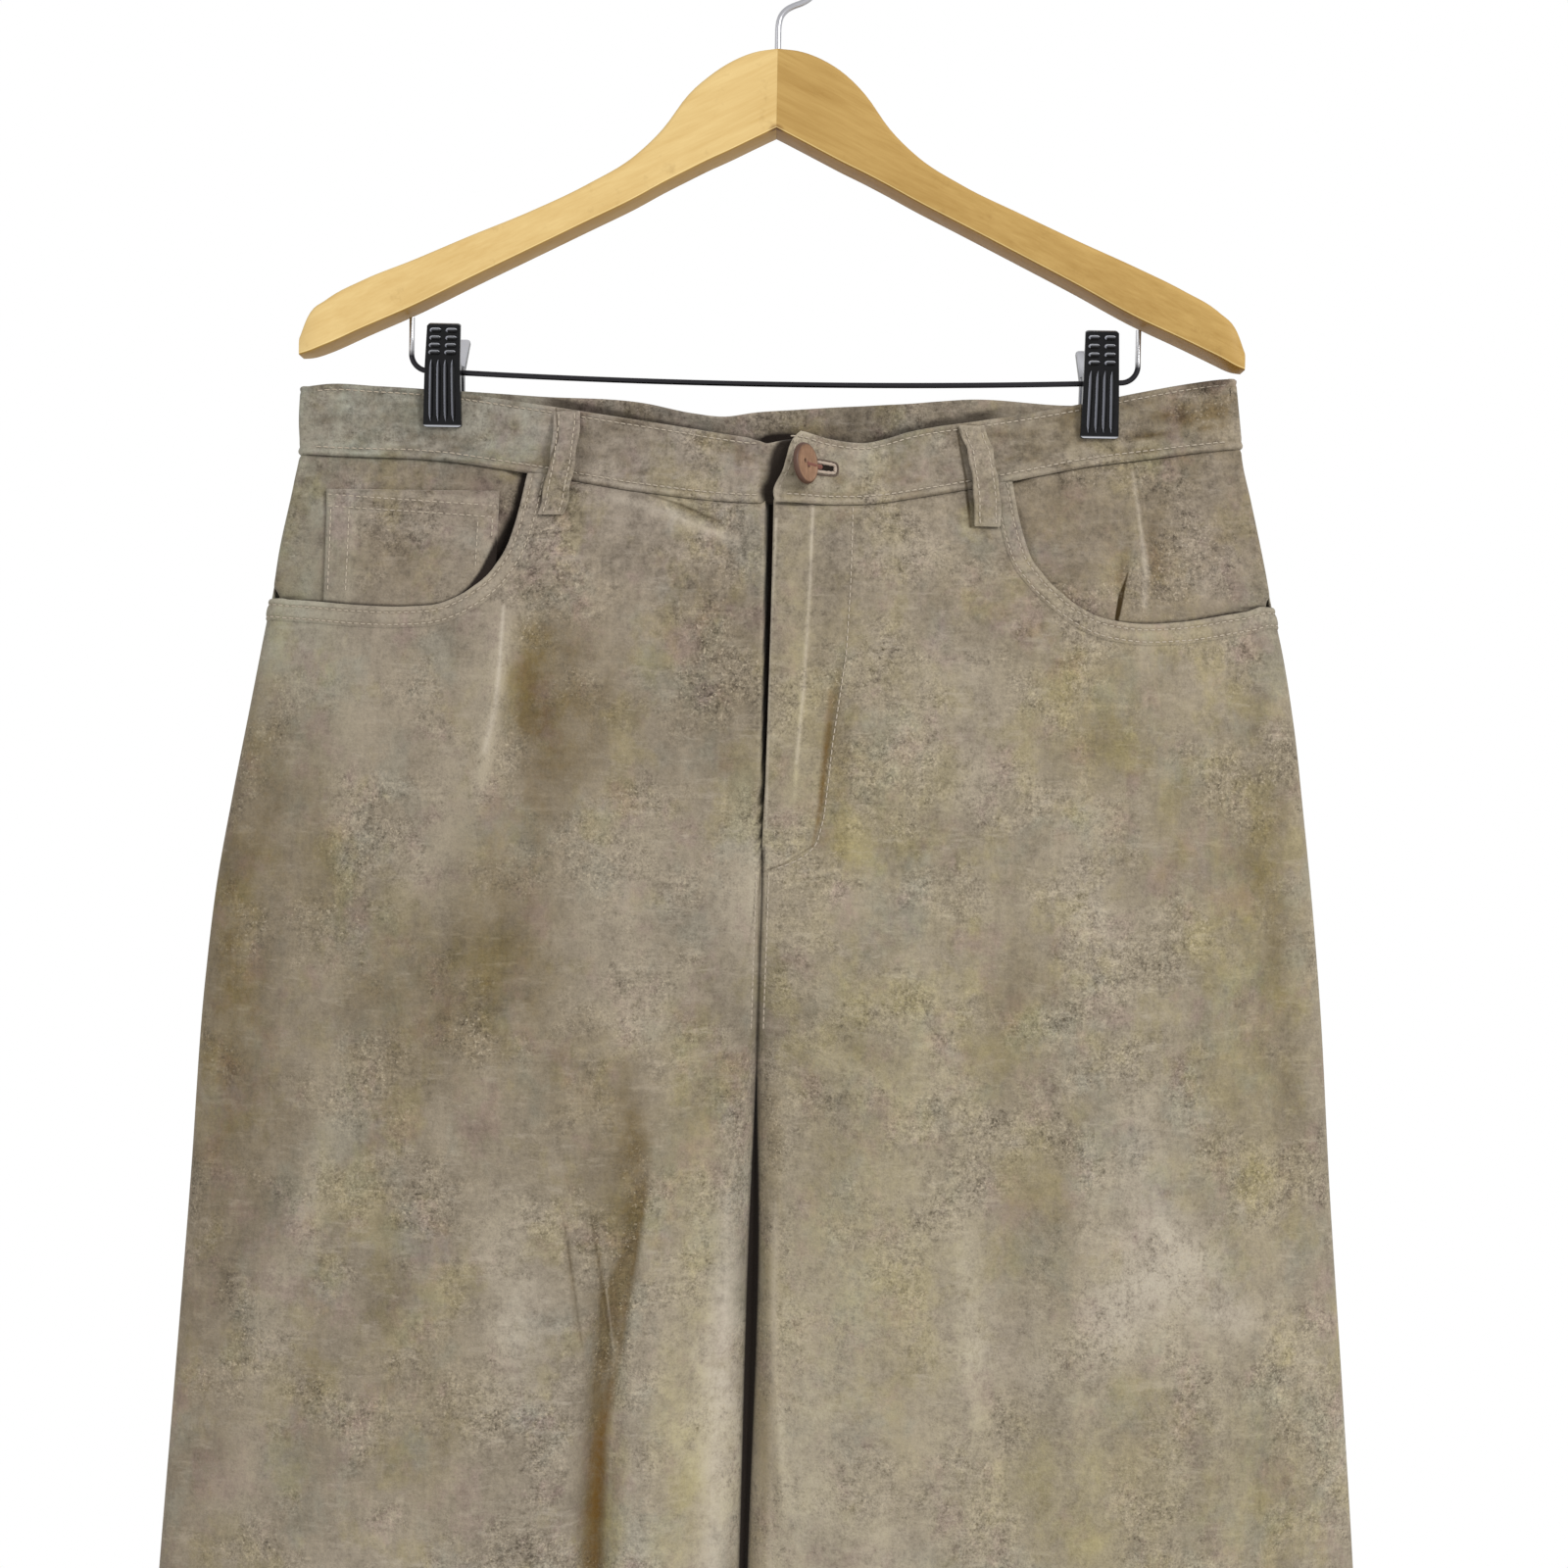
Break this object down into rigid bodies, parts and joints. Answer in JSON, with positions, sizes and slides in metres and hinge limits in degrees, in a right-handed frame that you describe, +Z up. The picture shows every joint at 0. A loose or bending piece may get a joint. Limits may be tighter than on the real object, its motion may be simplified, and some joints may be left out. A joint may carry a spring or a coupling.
{
  "type": "suede trousers on a clip hanger",
  "caption": "Wide-leg suede trousers with a buttoned waistband and curved pockets, hanging by the waist from a wooden clip hanger.",
  "frame": {"origin": "inside of the top of the hook, where a rail carries the hanger", "axes": "+Z up, -Y out of the front of the trousers, +X to the right as seen from the front"},
  "size_m": [0.6, 0.07, 1.3031],
  "materials": {
    "suede": "brushed suede, taupe, patchy and dusty, no gloss",
    "suede_dark": "brushed suede, less worn and darker",
    "zip_tape": "woven tape, matt",
    "button": "satin, reddish tan with fine grain",
    "wood": "satin varnish, honey yellow",
    "steel": "polished wire",
    "clip_plastic": "charcoal, glossy"
  },
  "bodies": {
    "root": {"front_left": "suede", "front_right": "suede", "back_left": "suede", "back_right": "suede", "waistband_front_left": "suede", "waistband_front_right": "suede", "waistband_back": "suede", "pocket_facing_left": "suede_dark", "pocket_facing_right": "suede_dark", "coin_pocket": "suede_dark", "fly_shield": "suede_dark", "fly_zip": "zip_tape", "belt_loop_front_left": "suede", "belt_loop_front_right": "suede", "belt_loop_back_left": "suede", "belt_loop_back_middle": "suede", "belt_loop_back_right": "suede", "button": "button", "hanger_arm_left": "wood", "hanger_arm_right": "wood", "hanger_hook": "steel", "hanger_rod": "steel", "clip_left_front": "clip_plastic", "clip_left_back": "clip_plastic", "clip_right_front": "clip_plastic", "clip_right_back": "clip_plastic"}
  },
  "joints": []
}
